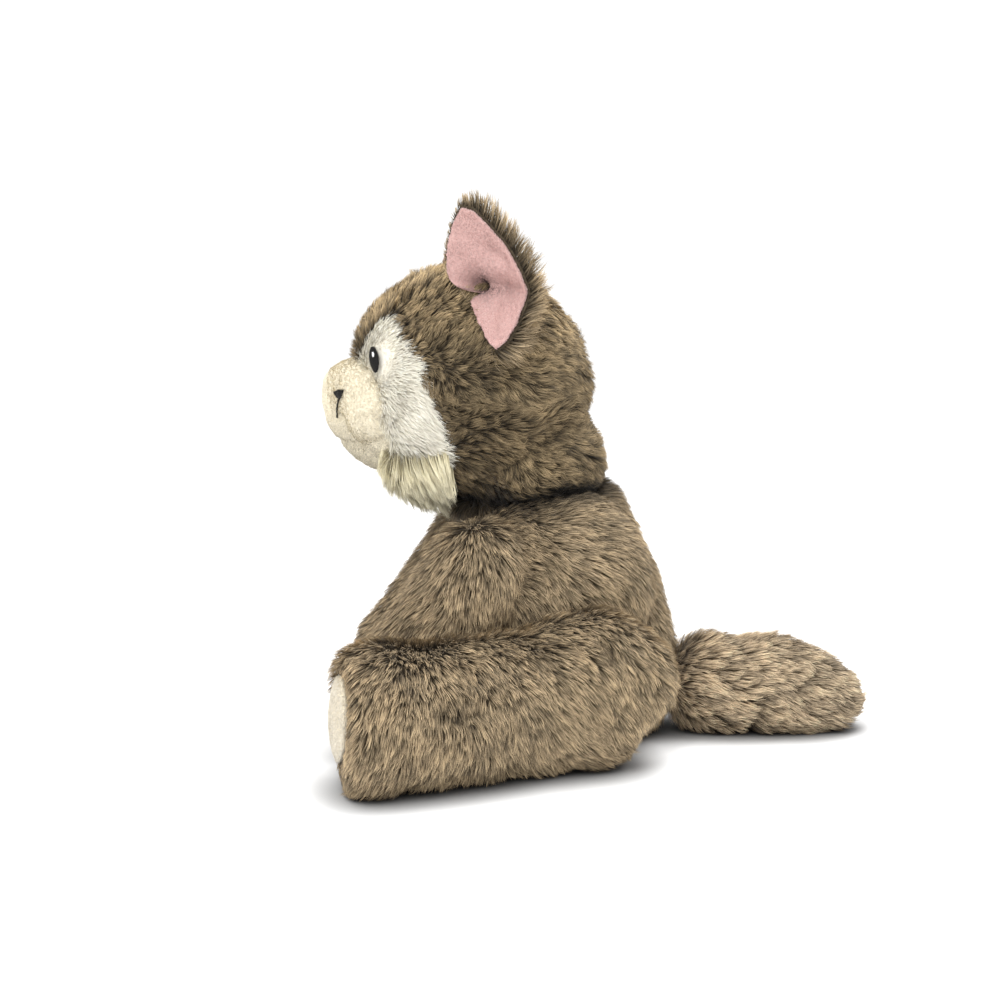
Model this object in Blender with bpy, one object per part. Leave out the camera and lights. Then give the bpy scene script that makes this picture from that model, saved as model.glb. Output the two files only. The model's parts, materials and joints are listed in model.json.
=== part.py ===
"""A stuffed plush cat that sits with its legs sprawled forward and its tail straight out behind.

Metres, +Z up. The cat faces -Y and its left side is at +X. The origin is on the floor under the
middle of the bounding box. Every sewn panel is a closed piece of thick fabric cut from a loft, and
the filling of each limb is the same loft, made smaller. Limbs turn about the ball at their root.
"""

import math

import bmesh
import bpy
import numpy as np
from mathutils import Matrix, Vector

# ---- driving dimensions -------------------------------------------------------------------------
FABRIC = 0.0030          # thickness of a fur panel, pressed pile included
SEAM_GAP = 0.0004        # clearance between neighbouring panels
FILL_GAP = 0.0011        # clearance between a panel and the filling behind it
PILE_OUT = 0.0004        # clearance under a stitched detail
INSIDE = FABRIC + FILL_GAP   # from the outer surface to the filling
SHIFT_Y = -0.0468        # moves the design's zero to the middle of the bounding box

HEAD_CENTRE = (0.0, -0.0140, 0.1725)
HEAD_TILT = math.radians(18.0)       # the face looks this far down
HEAD_TURN = math.radians(9.0)        # and this far to the cat's left
HEAD_LENGTH = 0.0560                 # half length along the face axis
HEAD_FULL = 0.84                     # exponent of the front half: below 1 is a fuller brow
HEAD_WIDTH = 0.0570                  # half width
HEAD_UP, HEAD_DOWN = 0.0595, 0.0475  # half heights above and below the axis
BACK_HOLE = math.radians(5.0)        # closing seam at the back of the head
FILL_POLE = math.radians(3.0)        # the filling is flat this near to its poles
FACE_EDGE = math.radians(112.0)      # where brown side panels meet the white patches
MUZZLE_EDGE = math.radians(149.0)    # where the face meets the muzzle
BRIDGE = math.radians(25.0)          # half angle of the crown strip
RUFF = math.radians(128.0)           # where the white patch meets the ruff
MUZZLE_DEPTH = 0.0205
MUZZLE_RISE = 0.0045                 # the tip sits this far above the middle of its seam
MUZZLE_TIP = math.radians(89.3)      # the halves stop just short of the tip
MUZZLE_SQUARE = 0.74                 # exponent: below 1 is a fuller muzzle

NECK = (0.0, 0.0020, 0.1195)         # the head turns and nods about this point
NECK_R = 0.0058

SHOULDER = (0.0490, -0.0095, 0.0895)
HIP = (0.0655, 0.0460, 0.0360)
TAIL_ROOT = (0.0, 0.1085, 0.0225)

LOOKS = {                # colour and roughness
    "brown_fur": ((0.240, 0.190, 0.150), 0.90),
    "white_fur": ((0.820, 0.780, 0.720), 0.90),
    "cream_pile": ((0.780, 0.690, 0.560), 0.85),
    "pink_pile": ((0.790, 0.520, 0.480), 0.85),
    "dark_thread": ((0.015, 0.012, 0.010), 0.45),
    "white_thread": ((0.820, 0.820, 0.810), 0.50),
    "fibre": ((0.860, 0.860, 0.850), 0.95),
    "pouch_cloth": ((0.700, 0.690, 0.640), 0.90),
}


# ---- scene and materials ------------------------------------------------------------------------
def clear_scene():
    for item in list(bpy.data.objects):
        bpy.data.objects.remove(item)


def material(name):
    """One plain Principled material, made once and reused."""
    found = bpy.data.materials.get(name)
    if found:
        return found
    colour, roughness = LOOKS[name]
    made = bpy.data.materials.new(name)
    made.use_nodes = True
    shader = made.node_tree.nodes["Principled BSDF"]
    shader.inputs["Base Color"].default_value = (*colour, 1.0)
    shader.inputs["Roughness"].default_value = roughness
    shader.inputs["Metallic"].default_value = 0.0
    return made


def add_object(name, points, faces, look, pivot):
    """A mesh object whose origin is its joint's point. points are in the design's coordinates."""
    shift = Vector((0.0, SHIFT_Y, 0.0))
    origin = Vector(pivot) + shift
    mesh = bpy.data.meshes.new(name)
    mesh.from_pydata([Vector(p) + shift - origin for p in points], [], faces)
    work = bmesh.new()
    work.from_mesh(mesh)
    bmesh.ops.recalc_face_normals(work, faces=work.faces)
    if work.calc_volume(signed=True) < 0.0:
        bmesh.ops.reverse_faces(work, faces=work.faces)
    work.to_mesh(mesh)
    work.free()
    mesh.shade_smooth()
    mesh.set_sharp_from_angle(angle=math.radians(50.0))
    mesh.materials.append(material(look))
    item = bpy.data.objects.new(name, mesh)
    item.location = origin
    bpy.context.scene.collection.objects.link(item)
    return item


# ---- lofts --------------------------------------------------------------------------------------
class Loft:
    """A closed surface: v runs from one pole to the other and angle runs round the section.

    frame(v) gives (centre, side, up, half_side, half_up, half_down) of the section at v."""

    def __init__(self, frame):
        self.frame = frame

    def point(self, v, angle, depth=0.0):
        centre, side, up, half_side, half_up, half_down = self.frame(v, depth)
        tall = half_up if math.cos(angle) > 0.0 else half_down
        return centre + side * (half_side * math.sin(angle)) + up * (tall * math.cos(angle))

    def radius(self, v):
        _, _, _, half_side, half_up, half_down = self.frame(v, 0.0)
        return max(min(half_side, half_up, half_down), 0.002)


def band_faces(start, bands, around):
    """Faces between rings of points that follow each other from the index start."""
    faces = []
    for i in range(bands):
        for j in range(around):
            a = start + i * around + j
            b = start + i * around + (j + 1) % around
            faces.append((a, b, b + around, a + around))
    return faces


def rim_faces(around, layer):
    """Faces that join the first rings of two layers of points."""
    return [(j, (j + 1) % around, layer + (j + 1) % around, layer + j) for j in range(around)]


def dish_faces(rings, around):
    """Faces of a closed dish: two layers, each made of rings round one middle point."""
    layer = rings * around + 1
    faces = rim_faces(around, layer)
    for start in (0, layer):
        faces += band_faces(start, rings - 1, around)
        inner = start + (rings - 1) * around
        middle = start + layer - 1
        faces += [(inner + j, inner + (j + 1) % around, middle) for j in range(around)]
    return faces


def panel(name, loft, spans, counts, look, pivot, thick=FABRIC):
    """A patch of the loft with fabric thickness. spans = (v0, v1, angle0, angle1)."""
    v0, v1, angle0, angle1 = spans
    rows, columns = counts
    points = []
    for depth in (0.0, thick):
        for i in range(rows + 1):
            v = v0 + (v1 - v0) * i / rows
            inset = 0.5 * SEAM_GAP / loft.radius(v)
            for j in range(columns + 1):
                angle = angle0 + inset + (angle1 - angle0 - 2.0 * inset) * j / columns
                points.append(loft.point(v, angle, depth))
    return add_object(name, points, sheet_faces(rows, columns), look, pivot)


def sheet_faces(rows, columns):
    """Faces of a closed slab made of two grids of (rows + 1) by (columns + 1) points."""
    wide = columns + 1
    layer = (rows + 1) * wide
    faces = []
    for i in range(rows):
        for j in range(columns):
            a = i * wide + j
            faces.append((a, a + 1, a + wide + 1, a + wide))
            faces.append((layer + a, layer + a + wide, layer + a + wide + 1, layer + a + 1))
    rim = [j for j in range(wide)]
    rim += [i * wide + columns for i in range(1, rows + 1)]
    rim += [rows * wide + j for j in range(columns - 1, -1, -1)]
    rim += [i * wide for i in range(rows - 1, 0, -1)]
    for a, b in zip(rim, rim[1:] + rim[:1]):
        faces.append((b, a, layer + a, layer + b))
    return faces


def solid(name, loft, spans, counts, look, pivot, depth):
    """A whole closed loft between two v values, with a flat fan at each end."""
    v0, v1 = spans
    rings, around = counts
    points = []
    for i in range(rings + 1):
        v = v0 + (v1 - v0) * i / rings
        for j in range(around):
            points.append(loft.point(v, 2.0 * math.pi * j / around, depth))
    faces = band_faces(0, rings, around)
    faces.append(tuple(range(around)))
    faces.append(tuple(range(rings * around, (rings + 1) * around)))
    return add_object(name, points, faces, look, pivot)


def cap(name, loft, spans, counts, look, pivot, depths):
    """The end of a loft as a dish: two layers from v_edge to v_pole, each closed by a fan."""
    v_edge, v_pole = spans
    rings, around = counts
    points = []
    for depth in depths:
        for i in range(rings + 1):
            v = v_edge + (v_pole - v_edge) * i / rings
            for j in range(around):
                points.append(loft.point(v, 2.0 * math.pi * j / around, depth))
    layer = (rings + 1) * around
    faces = rim_faces(around, layer)
    for start in (0, layer):
        faces += band_faces(start, rings, around)
        faces.append(tuple(range(start + rings * around, start + layer)))
    return add_object(name, points, faces, look, pivot)


def stitched(name, surface, outline, heights, look, pivot, rings=3):
    """A raised stitched shape: surface(a, b, height) is filled inside the outline in (a, b)."""
    centre = np.mean(outline, axis=0)
    points = []
    for height in heights:
        for i in range(rings):
            share = 1.0 - i / rings
            for a, b in outline:
                points.append(surface(centre[0] + (a - centre[0]) * share,
                                      centre[1] + (b - centre[1]) * share, height))
        points.append(surface(centre[0], centre[1], height))
    return add_object(name, points, dish_faces(rings, len(outline)), look, pivot)


def ellipse(centre, half, count):
    """Points of an ellipse in two parameters."""
    turns = [2.0 * math.pi * i / count for i in range(count)]
    return [(centre[0] + half[0] * math.cos(t), centre[1] + half[1] * math.sin(t)) for t in turns]


# ---- head ---------------------------------------------------------------------------------------
FORWARD = Vector((0.0, -math.cos(HEAD_TILT), -math.sin(HEAD_TILT)))
UPWARD = Vector((0.0, -math.sin(HEAD_TILT), math.cos(HEAD_TILT)))
LEFT = Vector((1.0, 0.0, 0.0))
TURN = Matrix.Rotation(HEAD_TURN, 3, "Z")


def turned(point):
    """A point of the straight head, turned about the neck's vertical line."""
    neck = Vector(NECK)
    return neck + TURN @ (Vector(point) - neck)


def head_share(v):
    """The section's size at v, as a share of the widest one."""
    return math.sin(v) ** (HEAD_FULL if v > 0.5 * math.pi else 1.0)


def head_frame(v, depth):
    """v is the angle from the back pole of the head's egg."""
    share = head_share(v)
    along = -(HEAD_LENGTH - depth) * math.cos(v)
    centre = turned(Vector(HEAD_CENTRE) + FORWARD * along)
    return (centre, TURN @ LEFT, TURN @ UPWARD, (HEAD_WIDTH - depth) * share,
            (HEAD_UP - depth) * share, (HEAD_DOWN - depth) * share)


def muzzle_frame(v, depth):
    """v runs from 0 at the seam to a right angle at the tip of the muzzle."""
    seam = head_share(MUZZLE_EDGE)
    half_side = HEAD_WIDTH * seam
    half_up = 0.5 * (HEAD_UP + HEAD_DOWN) * seam
    middle = 0.5 * (HEAD_UP - HEAD_DOWN) * seam + MUZZLE_RISE * math.sin(v)
    start = -HEAD_LENGTH * math.cos(MUZZLE_EDGE) + SEAM_GAP
    along = start + (MUZZLE_DEPTH - depth) * math.sin(v) ** MUZZLE_SQUARE
    share = max(math.cos(v), 0.0) ** MUZZLE_SQUARE
    centre = turned(Vector(HEAD_CENTRE) + FORWARD * along + UPWARD * middle)
    return (centre, TURN @ LEFT, TURN @ UPWARD, (half_side - depth) * share,
            (half_up - depth) * share, (half_up - depth) * share)


def head_surface(angle, v, height):
    return HEAD.point(v, angle, -height)


def muzzle_surface(side, up, height):
    """A point in front of the muzzle at a sideways and an upward distance from its middle."""
    half_side = HEAD_WIDTH * head_share(MUZZLE_EDGE)
    half_up = 0.5 * (HEAD_UP + HEAD_DOWN) * head_share(MUZZLE_EDGE)
    share = min(math.hypot(side / half_side, up / half_up), 0.999)
    v = math.acos(share ** (1.0 / MUZZLE_SQUARE))
    return MUZZLE.point(v, math.atan2(side / half_side, up / half_up), -height)


HEAD = Loft(head_frame)
MUZZLE = Loft(muzzle_frame)


def make_head():
    tiny = 0.5 * SEAM_GAP / HEAD_LENGTH
    back, edge, front = BACK_HOLE, FACE_EDGE, MUZZLE_EDGE
    panel("crown_gusset", HEAD, (back, front, -BRIDGE, BRIDGE), (12, 4), "brown_fur", NECK)
    panel("chin_ruff", HEAD, (edge + tiny, front, RUFF, 2.0 * math.pi - RUFF), (4, 8), "white_fur", NECK)
    for side, sign in (("left", 1.0), ("right", -1.0)):
        brown_span = sorted((sign * BRIDGE, sign * math.pi))
        white_span = sorted((sign * BRIDGE, sign * RUFF))
        panel(f"head_side_{side}", HEAD, (back, edge - tiny, *brown_span), (8, 10), "brown_fur", NECK)
        panel(f"face_patch_{side}", HEAD, (edge + tiny, front, *white_span), (4, 8), "white_fur", NECK)
        muzzle_span = sorted((0.0, sign * math.pi))
        panel(f"muzzle_{side}", MUZZLE, (0.0, MUZZLE_TIP, *muzzle_span), (6, 10), "cream_pile", NECK)
        make_eye(side, sign)
        make_ear(side, sign)
    make_nose()
    solid("head_filling", HEAD, (FILL_POLE, math.pi - FILL_POLE), (10, 16), "fibre", NECK, INSIDE)


EYE_AT = (math.radians(44.0), math.radians(138.0))   # round and along the head
EYE_HALF = (math.radians(8.6), math.radians(4.3))
GLINT_ABOVE = (math.radians(2.6), math.radians(0.6))  # from the eye's middle, upward and back
GLINT_HALF = (math.radians(2.0), math.radians(1.2))
EYE_THICK = 0.0012
GLINT_THICK = 0.0006


def make_eye(side, sign):
    at = (sign * EYE_AT[0], EYE_AT[1])
    low = PILE_OUT
    rim = ellipse(at, EYE_HALF, 14)
    stitched(f"eye_{side}", head_surface, rim, (low, low + EYE_THICK),
             "dark_thread", NECK)
    spot = (at[0] - sign * GLINT_ABOVE[0], at[1] - GLINT_ABOVE[1])
    top = low + EYE_THICK + PILE_OUT
    stitched(f"eye_{side}_glint", head_surface, ellipse(spot, GLINT_HALF, 8), (top, top + GLINT_THICK),
             "white_thread", NECK, rings=1)


NOSE_UP = 0.0098           # middle of the nose above the middle of the muzzle
NOSE_ASIDE = 0.0075        # and to the left of it
NOSE_HALF = (0.0058, 0.0036)
MOUTH_HALF = 0.0008        # half width of the stitched line
MOUTH_LOW = -0.0015        # lower end of the mouth line
STITCH = 0.0010


def make_nose():
    wide, tall = NOSE_HALF
    rim = [(-wide, tall), (-0.5 * wide, 1.15 * tall), (0.5 * wide, 1.15 * tall), (wide, tall),
           (0.75 * wide, 0.0), (0.25 * wide, -tall), (-0.25 * wide, -tall), (-0.75 * wide, 0.0)]
    rim = [(a + NOSE_ASIDE, b + NOSE_UP) for a, b in rim]
    stitched("nose", muzzle_surface, rim, (PILE_OUT, PILE_OUT + STITCH), "dark_thread", NECK, rings=2)
    top = NOSE_UP - NOSE_HALF[1] - SEAM_GAP
    steps = 4
    right = [(NOSE_ASIDE - MOUTH_HALF, top + (MOUTH_LOW - top) * i / steps) for i in range(steps + 1)]
    left = [(NOSE_ASIDE + MOUTH_HALF, b) for _, b in reversed(right)]
    stitched("mouth", muzzle_surface, right + left, (PILE_OUT, PILE_OUT + STITCH), "dark_thread", NECK, rings=1)


# The left ear's rim, from the tip round the back to the front: (x, y, z).
EAR_RIM = [(0.0460, -0.0255, 0.2610), (0.0520, -0.0140, 0.2525), (0.0570, -0.0020, 0.2370),
           (0.0600, 0.0040, 0.2210), (0.0610, -0.0010, 0.2050), (0.0595, -0.0110, 0.1930),
           (0.0545, -0.0180, 0.2050), (0.0440, -0.0210, 0.2180), (0.0360, -0.0285, 0.2270),
           (0.0380, -0.0320, 0.2400)]
EAR_CENTRE = (0.0490, -0.0125, 0.2240)
EAR_CUP = 0.0060
EAR_OUT = Vector((0.82, -0.57, 0.0)).normalized()
EAR_PLY = 0.0026
EAR_HINGE = (0.0470, -0.0240, 0.2100)
EAR_FOLD = {1.0: 0.0, -1.0: math.radians(-18.0)}   # the right ear is folded back


def ear_point(sign, corner, share, height):
    """A point of the ear's dish: share is 0 in the middle and 1 on the rim."""
    flat = Vector(EAR_CENTRE).lerp(Vector(corner), share)
    made = flat + EAR_OUT * (height - EAR_CUP * (1.0 - share * share))
    hinge = Vector(EAR_HINGE)
    folded = hinge + Matrix.Rotation(EAR_FOLD[sign], 3, "X") @ (made - hinge)
    return turned((sign * folded.x, folded.y, folded.z))


def smooth_rim(corners, fill):
    """A closed Catmull-Rom curve through the corners, with fill points for each corner."""
    out = []
    count = len(corners)
    for i in range(count):
        a, b, c, d = (Vector(corners[(i + k - 1) % count]) for k in range(4))
        for step in range(fill):
            t = step / fill
            out.append(0.5 * (2.0 * b + (c - a) * t + (2.0 * a - 5.0 * b + 4.0 * c - d) * t * t
                              + (3.0 * b - 3.0 * c + d - a) * t ** 3))
    return out


def make_ear(side, sign):
    rim = smooth_rim(EAR_RIM, 2)
    rings = 3
    pivot = turned((sign * EAR_HINGE[0], EAR_HINGE[1], EAR_HINGE[2]))
    plies = ((f"ear_{side}_back", 1.0, -EAR_PLY, "brown_fur"),
             (f"ear_{side}_inner", 0.94, SEAM_GAP, "pink_pile"))
    for name, size, low, look in plies:
        points = []
        for height in (low, low + EAR_PLY):
            for i in range(rings):
                share = size * (1.0 - i / rings)
                points += [ear_point(sign, corner, share, height) for corner in rim]
            points.append(ear_point(sign, rim[0], 0.0, height))
        add_object(name, points, dish_faces(rings, len(rim)), look, pivot)


# ---- torso --------------------------------------------------------------------------------------
# Stations of the torso from seat to neck: middle (y, z), half width, half length to the back and to
# the front, and the section's tilt (back edge up).
TORSO = [(0.0320, 0.0000, 0.0300, 0.0330, 0.0330, 0.0),
         (0.0330, 0.0030, 0.0360, 0.0420, 0.0410, 0.0),
         (0.0340, 0.0150, 0.0395, 0.0485, 0.0460, 0.0),
         (0.0340, 0.0380, 0.0400, 0.0520, 0.0460, 0.0),
         (0.0310, 0.0600, 0.0370, 0.0510, 0.0460, 3.0),
         (0.0260, 0.0800, 0.0335, 0.0480, 0.0490, 8.0),
         (0.0210, 0.0970, 0.0300, 0.0440, 0.0470, 14.0),
         (0.0190, 0.1070, 0.0275, 0.0415, 0.0420, 16.0),
         (0.0190, 0.1145, 0.0210, 0.0345, 0.0345, 17.0),
         (0.0190, 0.1175, 0.0070, 0.0120, 0.0120, 17.0)]
SEAT_EDGE = 2.0 / 9.0       # the seat panel ends at this v
SEAM_V = 0.002              # half the clearance of a seam across the torso or a leg, as a part of v
TORSO_TOP = 1.0 - 0.25 / 9.0
POUCH_TOP = 0.262           # the pellet pouch fills the seat up to this v
POUCH_GAP = 0.010           # and the filling begins this much of v above it
TORSO_MIDDLE = 0.0600        # the filling shrinks towards this height
BELLY = math.radians(142.0)  # the belly panel spans from here round the front


def station(table, v):
    """Catmull-Rom through the rows of a table, with v from 0 to 1."""
    rows = [np.array(row) for row in table]
    last = len(rows) - 1
    place = min(max(v, 0.0), 1.0) * last
    k = min(int(place), last - 1)
    t = place - k
    b, c = rows[k], rows[k + 1]
    a = rows[k - 1] if k > 0 else 2.0 * b - c
    d = rows[k + 2] if k + 2 <= last else 2.0 * c - b
    return 0.5 * (2.0 * b + (c - a) * t + (2.0 * a - 5.0 * b + 4.0 * c - d) * t * t
                  + (3.0 * b - 3.0 * c + d - a) * t ** 3)


def torso_frame(v, depth):
    """The section's up direction is to the back, so angle 0 is the middle of the back."""
    y, z, half_x, back, front, tilt = station(TORSO, v)
    tilt = math.radians(tilt)
    z_in = z + (TORSO_MIDDLE - z) * depth / TORSO_MIDDLE
    up = Vector((0.0, math.cos(tilt), math.sin(tilt)))
    shrink = max(1.0 - depth / max(half_x, 0.006), 0.1)
    return (Vector((0.0, y, z_in)), Vector((1.0, 0.0, 0.0)), up, half_x * shrink, back * shrink,
            front * shrink)


TORSO_LOFT = Loft(torso_frame)


def make_torso():
    seat = (0.0, TORSO[2][0], 0.0)
    for side, sign in (("left", 1.0), ("right", -1.0)):
        span = sorted((0.0, sign * BELLY))
        panel(f"torso_{side}", TORSO_LOFT, (SEAT_EDGE + SEAM_V, TORSO_TOP, *span), (10, 8), "brown_fur", seat)
    front = (BELLY, 2.0 * math.pi - BELLY)
    panel("torso_belly", TORSO_LOFT, (SEAT_EDGE + SEAM_V, TORSO_TOP, *front), (10, 4), "brown_fur", seat)
    cap("torso_base", TORSO_LOFT, (SEAT_EDGE - SEAM_V, 0.0), (4, 24), "brown_fur", seat, (0.0, FABRIC))
    solid("pellet_pouch", TORSO_LOFT, (0.0, POUCH_TOP), (4, 16), "pouch_cloth", seat, INSIDE)
    solid("torso_filling", TORSO_LOFT, (POUCH_TOP + POUCH_GAP, TORSO_TOP), (9, 16), "fibre", seat, INSIDE)


# ---- limbs --------------------------------------------------------------------------------------
def bezier(nodes, t):
    a, b, c, d = (Vector(n) for n in nodes)
    s = 1.0 - t
    return a * s ** 3 + b * 3.0 * s * s * t + c * 3.0 * s * t * t + d * t ** 3


def limb_frame(nodes, half_side, half_up, ends):
    """A limb round a Bezier line. half_side and half_up each give root, middle and tip values, and
    ends gives the lengths of the rounded root and tip. Its v has the root in the first quarter and
    the tip in the last."""
    line = [Vector(n) for n in nodes]

    def blend(values, t):
        a, b, c = values
        return a * (1.0 - t) ** 2 + 2.0 * b * t * (1.0 - t) + c * t * t

    def frame(v, depth):
        root, tip = ends[0] - depth, ends[1] - depth
        share = 1.0
        if v < 0.25:
            turn = 0.5 * math.pi * v / 0.25
            t, share = 0.0, math.sin(turn)
            way = (line[1] - line[0]).normalized()
            centre = line[0] - way * (root * math.cos(turn))
        elif v > 0.75:
            turn = 0.5 * math.pi * (1.0 - v) / 0.25
            t, share = 1.0, math.sin(turn)
            way = (line[3] - line[2]).normalized()
            centre = line[3] + way * (tip * math.cos(turn))
        else:
            t = (v - 0.25) / 0.5
            centre = bezier(line, t)
            way = (bezier(line, min(t + 0.01, 1.0)) - bezier(line, max(t - 0.01, 0.0))).normalized()
        side = way.cross(Vector((0.0, 0.0, 1.0))).normalized()
        up = side.cross(way).normalized()
        wide = (blend(half_side, t) - depth) * share
        tall = (blend(half_up, t) - depth) * share
        return centre, side, up, wide, tall, tall

    return frame


# Size of each limb at its root, middle and tip, and the lengths of its rounded root and tip.
ARM_HALF_X = (0.0175, 0.0165, 0.0190)
ARM_HALF_UP = (0.0240, 0.0215, 0.0260)
ARM_ENDS = (0.0240, 0.0250)
LEG_HALF_X = (0.0215, 0.0250, 0.0280)
LEG_HALF_UP = (0.0350, 0.0275, 0.0330)
LEG_ENDS = (0.0320, 0.0165)
LEG_REACH = {1.0: 1.0, -1.0: 0.80}   # the right leg is drawn back by a fifth
TAIL_HALF_X = (0.0210, 0.0250, 0.0155)
TAIL_HALF_UP = (0.0210, 0.0260, 0.0155)
TAIL_ENDS = (0.0210, 0.0145)
LIMB_SEAMS = (0.012, 0.988)          # v of the ends of the seams, just short of the poles
LIMB_FILLING = (0.02, 0.98)
SOLE_EDGE = 0.895                    # v where the leg's fur meets the sole


def arm_nodes(sign):
    x, y, z = SHOULDER
    return [(sign * x, y, z), (sign * x, y - 0.0125, z - 0.0175), (sign * x, y - 0.0275, z - 0.0410),
            (sign * x, y - 0.0405, z - 0.0612)]


def leg_nodes(sign):
    x, y, z = HIP
    reach = LEG_REACH[sign]
    return [(sign * x, y, z), (sign * x, y - 0.0280 * reach, z - 0.0020),
            (sign * (x + 0.0235), y - 0.0560 * reach, z - 0.0050),
            (sign * (x + 0.0365), y - 0.1050 * reach, z - 0.0025)]


def tail_nodes():
    x, y, z = TAIL_ROOT
    return [(x, y, z), (x, y + 0.018, z + 0.0035), (x, y + 0.040, z - 0.0005), (x, y + 0.0575, z - 0.0065)]


def make_limb(name, loft, spans, panels, pivot, counts):
    """Two fur halves and a filling. panels = ((suffix, angle0, angle1), ...)."""
    for suffix, angle0, angle1 in panels:
        panel(f"{name}_{suffix}", loft, (*spans, angle0, angle1), counts, "brown_fur", pivot)
    solid(f"{name}_filling", loft, LIMB_FILLING, (12, 12), "fibre", pivot, INSIDE)


def make_limbs():
    half = math.pi
    for side, sign in (("left", 1.0), ("right", -1.0)):
        outer = (0.0, half) if sign < 0.0 else (-half, 0.0)
        inner = (-half, 0.0) if sign < 0.0 else (0.0, half)
        panels = (("outer", *outer), ("inner", *inner))
        shoulder = (sign * SHOULDER[0], SHOULDER[1], SHOULDER[2])
        arm = Loft(limb_frame(arm_nodes(sign), ARM_HALF_X, ARM_HALF_UP, ARM_ENDS))
        make_limb(f"arm_{side}", arm, LIMB_SEAMS, panels, shoulder, (12, 6))
        hip = (sign * HIP[0], HIP[1], HIP[2])
        leg = Loft(limb_frame(leg_nodes(sign), LEG_HALF_X, LEG_HALF_UP, LEG_ENDS))
        make_limb(f"leg_{side}", leg, (LIMB_SEAMS[0], SOLE_EDGE - SEAM_V), panels, hip, (11, 6))
        cap(f"leg_{side}_sole", leg, (SOLE_EDGE + SEAM_V, 1.0), (3, 16), "cream_pile", hip, (0.0, FABRIC))
    tail = Loft(limb_frame(tail_nodes(), TAIL_HALF_X, TAIL_HALF_UP, TAIL_ENDS))
    make_limb("tail", tail, LIMB_SEAMS, (("left", -half, 0.0), ("right", 0.0, half)), TAIL_ROOT, (11, 6))


def make_neck():
    """A ball of fibre between the head and the torso, centred on the point they turn about."""
    turns = 8
    points = []
    for i in range(1, turns):
        polar = math.pi * i / turns
        for j in range(2 * turns):
            angle = math.pi * j / turns
            points.append(Vector(NECK) + NECK_R * Vector((math.sin(polar) * math.cos(angle),
                                                          math.sin(polar) * math.sin(angle),
                                                          math.cos(polar))))
    around = 2 * turns
    faces = band_faces(0, turns - 2, around)
    faces.append(tuple(range(around)))
    faces.append(tuple(range((turns - 2) * around, (turns - 1) * around)))
    add_object("neck_filling", points, faces, "fibre", NECK)


clear_scene()
make_head()
make_neck()
make_torso()
make_limbs()
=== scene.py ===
"""Looks of the plush cat: stuffed skins, faux fur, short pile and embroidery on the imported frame."""

import json
import math

import bmesh
import bpy
import numpy as np
from mathutils import Matrix, Vector
from mathutils.bvhtree import BVHTree
from mathutils.kdtree import KDTree


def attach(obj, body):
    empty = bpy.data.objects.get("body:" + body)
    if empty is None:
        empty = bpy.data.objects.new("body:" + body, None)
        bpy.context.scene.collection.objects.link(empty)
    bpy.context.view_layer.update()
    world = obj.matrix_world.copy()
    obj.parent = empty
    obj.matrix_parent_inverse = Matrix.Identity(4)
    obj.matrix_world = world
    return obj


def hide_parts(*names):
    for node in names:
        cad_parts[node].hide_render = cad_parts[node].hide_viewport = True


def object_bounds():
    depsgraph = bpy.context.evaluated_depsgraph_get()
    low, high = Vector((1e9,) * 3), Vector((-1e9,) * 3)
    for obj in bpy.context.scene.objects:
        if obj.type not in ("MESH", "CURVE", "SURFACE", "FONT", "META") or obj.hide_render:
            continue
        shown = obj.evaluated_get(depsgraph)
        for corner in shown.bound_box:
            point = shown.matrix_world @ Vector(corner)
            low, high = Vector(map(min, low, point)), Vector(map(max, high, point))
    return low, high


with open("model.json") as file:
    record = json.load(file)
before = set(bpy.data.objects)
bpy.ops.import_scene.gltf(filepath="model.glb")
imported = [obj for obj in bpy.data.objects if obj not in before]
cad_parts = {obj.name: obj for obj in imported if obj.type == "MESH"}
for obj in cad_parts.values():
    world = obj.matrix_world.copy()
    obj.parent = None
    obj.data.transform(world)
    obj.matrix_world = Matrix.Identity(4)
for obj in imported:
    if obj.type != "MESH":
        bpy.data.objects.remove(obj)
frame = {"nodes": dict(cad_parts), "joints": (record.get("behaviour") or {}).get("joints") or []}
cad_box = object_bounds()

MM = 0.001
UP = np.array([0.0, 0.0, 1.0])
SIDES = {"left": 1.0, "right": -1.0}
JOINTS = {joint["name"]: joint for joint in frame["joints"]}

# ---------------------------------------------------------------- colours, linear RGB: root, tip

BROWN = ((0.030, 0.021, 0.010), (0.50, 0.382, 0.234))
DARK_BROWN = ((0.016, 0.011, 0.005), (0.37, 0.275, 0.152))
# The tail's brown: a paler copy of the brown fur, painted light on the tail.
LIT_TAIL_BROWN = ((0.070, 0.050, 0.027), (0.68, 0.535, 0.360))
WHITE = ((0.80, 0.75, 0.62), (0.95, 0.92, 0.82))
# The ruff's white: a darker copy of the white fur, painted shade under the chin.
SHADED_RUFF_WHITE = ((0.46, 0.405, 0.245), (0.76, 0.71, 0.525))
CREAM = ((0.68, 0.60, 0.43), (0.79, 0.735, 0.60))
SOLE_CREAM = ((0.68, 0.61, 0.47), (0.80, 0.755, 0.66))
PINK = ((0.44, 0.26, 0.24), (0.69, 0.50, 0.475))

# ---------------------------------------------------------------- kinds of pile
# Density is strands to the square millimetre, lifts and spreads are degrees, clump_size is strands to a lock.

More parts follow.
